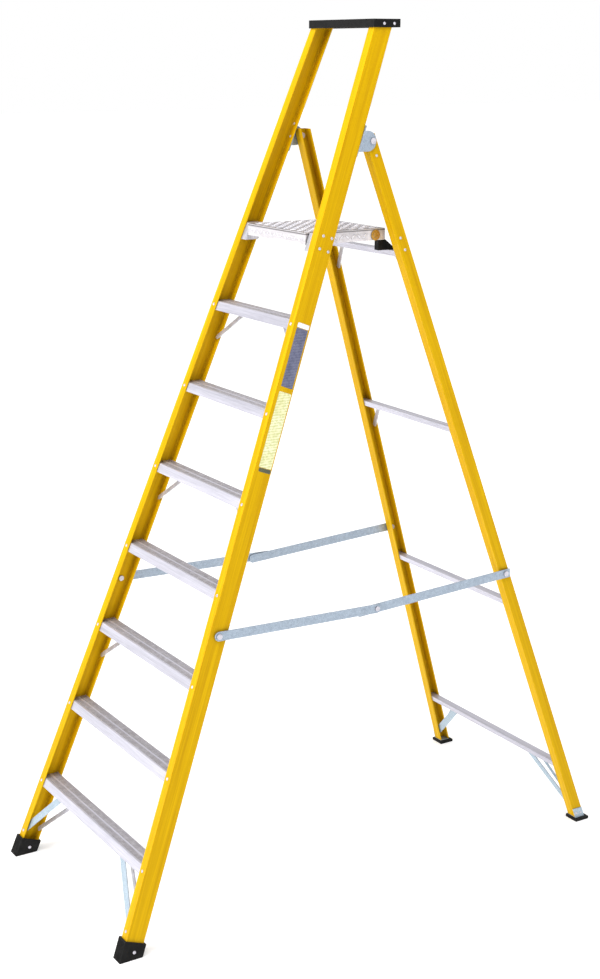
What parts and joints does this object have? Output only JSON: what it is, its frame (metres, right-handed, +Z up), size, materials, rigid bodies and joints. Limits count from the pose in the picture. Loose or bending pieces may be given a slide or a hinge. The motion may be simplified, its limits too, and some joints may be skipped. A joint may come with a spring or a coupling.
{
  "type": "platform step ladder",
  "caption": "Swing-back platform step ladder: leaning channel stiles with ribbed treads, a tilting platform, a hinged rear frame and two-link folding side stays.",
  "frame": {"origin": "middle of the footprint, on the floor", "axes": "+Z up, +X to the climber's right, +Y from the front frame towards the rear frame"},
  "size_m": [0.7888, 1.7438, 2.5953],
  "materials": {
    "grp_yellow": "yellow glass-fibre channel, satin gloss with faint lengthwise fibre",
    "aluminium": "mill-finish extruded aluminium, lightly scuffed",
    "zinc_steel": "zinc-plated steel, satin",
    "black_rubber": "moulded matte rubber",
    "black_plastic": "moulded black plastic, fine grain",
    "label_film": "plain printed film with no lettering"
  },
  "bodies": {
    "front_frame": {"front_boot_left": "black_rubber", "front_boot_right": "black_rubber", "front_brace_left": "zinc_steel", "front_brace_right": "zinc_steel", "front_stile_left": "grp_yellow", "front_stile_right": "grp_yellow", "hinge_bracket_left": "zinc_steel", "hinge_bracket_right": "zinc_steel", "hinge_pin_left": "zinc_steel", "hinge_pin_right": "zinc_steel", "platform_bracket_left": "aluminium", "platform_bracket_right": "aluminium", "platform_pin_left": "zinc_steel", "platform_pin_right": "zinc_steel", "stay_front_pin_left": "zinc_steel", "stay_front_pin_right": "zinc_steel", "top_cap": "black_plastic", "tread_1": "aluminium", "tread_2": "aluminium", "tread_3": "aluminium", "tread_4": "aluminium", "tread_5": "aluminium", "tread_6": "aluminium", "tread_7": "aluminium", "tread_brace_1_left": "aluminium", "tread_brace_1_right": "aluminium", "tread_brace_3_left": "aluminium", "tread_brace_3_right": "aluminium", "tread_brace_5_left": "aluminium", "tread_brace_5_right": "aluminium", "tread_brace_7_left": "aluminium", "tread_brace_7_right": "aluminium"},
    "rear_frame": {"rear_brace_middle_left": "aluminium", "rear_brace_middle_right": "aluminium", "rear_brace_upper_left": "aluminium", "rear_brace_upper_right": "aluminium", "rear_crossbar_1": "aluminium", "rear_crossbar_2": "aluminium", "rear_crossbar_3": "aluminium", "rear_crossbar_4": "aluminium", "rear_foot_brace_left": "zinc_steel", "rear_foot_brace_right": "zinc_steel", "rear_foot_bracket_left": "zinc_steel", "rear_foot_bracket_right": "zinc_steel", "rear_foot_pad_left": "black_rubber", "rear_foot_pad_right": "black_rubber", "rear_stile_left": "grp_yellow", "rear_stile_right": "grp_yellow", "stay_rear_pin_left": "zinc_steel", "stay_rear_pin_right": "zinc_steel"},
    "platform": {"platform_plate": "aluminium", "platform_rest_left": "black_plastic", "platform_rest_right": "black_plastic"},
    "stay_front_right": {"stay_front_link_right": "zinc_steel", "stay_knuckle_pin_right": "zinc_steel"},
    "stay_front_left": {"stay_front_link_left": "zinc_steel", "stay_knuckle_pin_left": "zinc_steel"},
    "stay_rear_right": {"stay_rear_link_right": "zinc_steel"},
    "stay_rear_left": {"stay_rear_link_left": "zinc_steel"}
  },
  "joints": [
    {"name": "rear_fold", "type": "hinge", "parent": "front_frame", "child": "rear_frame", "pos_m": [0, 0.09239, 2.249], "axis": [-1, 0, 0], "range_deg": [0, 38]},
    {"name": "platform_tilt", "type": "hinge", "parent": "front_frame", "child": "platform", "pos_m": [0, -0.08434, 1.97], "axis": [1, 0, 0], "range_deg": [0, 66.2]},
    {"name": "stay_front_right_fold", "type": "hinge", "parent": "front_frame", "child": "stay_front_right", "pos_m": [0, -0.50065, 0.879], "axis": [1, 0, 0], "range_deg": [0, 70.6]},
    {"name": "stay_rear_right_fold", "type": "hinge", "parent": "rear_frame", "child": "stay_rear_right", "pos_m": [0, 0.54744, 0.889], "axis": [-1, 0, 0], "range_deg": [0, 64.4]},
    {"name": "stay_front_left_fold", "type": "hinge", "parent": "front_frame", "child": "stay_front_left", "pos_m": [0, -0.50065, 0.879], "axis": [1, 0, 0], "range_deg": [0, 70.6]},
    {"name": "stay_rear_left_fold", "type": "hinge", "parent": "rear_frame", "child": "stay_rear_left", "pos_m": [0, 0.54744, 0.889], "axis": [-1, 0, 0], "range_deg": [0, 64.4]}
  ],
  "couplings": [
    {"joint": "platform_tilt", "follows": "rear_fold", "ratio": 1.74},
    {"joint": "stay_front_right_fold", "follows": "rear_fold", "ratio": 1.8557},
    {"joint": "stay_rear_right_fold", "follows": "rear_fold", "ratio": 1.6926},
    {"joint": "stay_front_left_fold", "follows": "rear_fold", "ratio": 1.8557},
    {"joint": "stay_rear_left_fold", "follows": "rear_fold", "ratio": 1.6926}
  ]
}
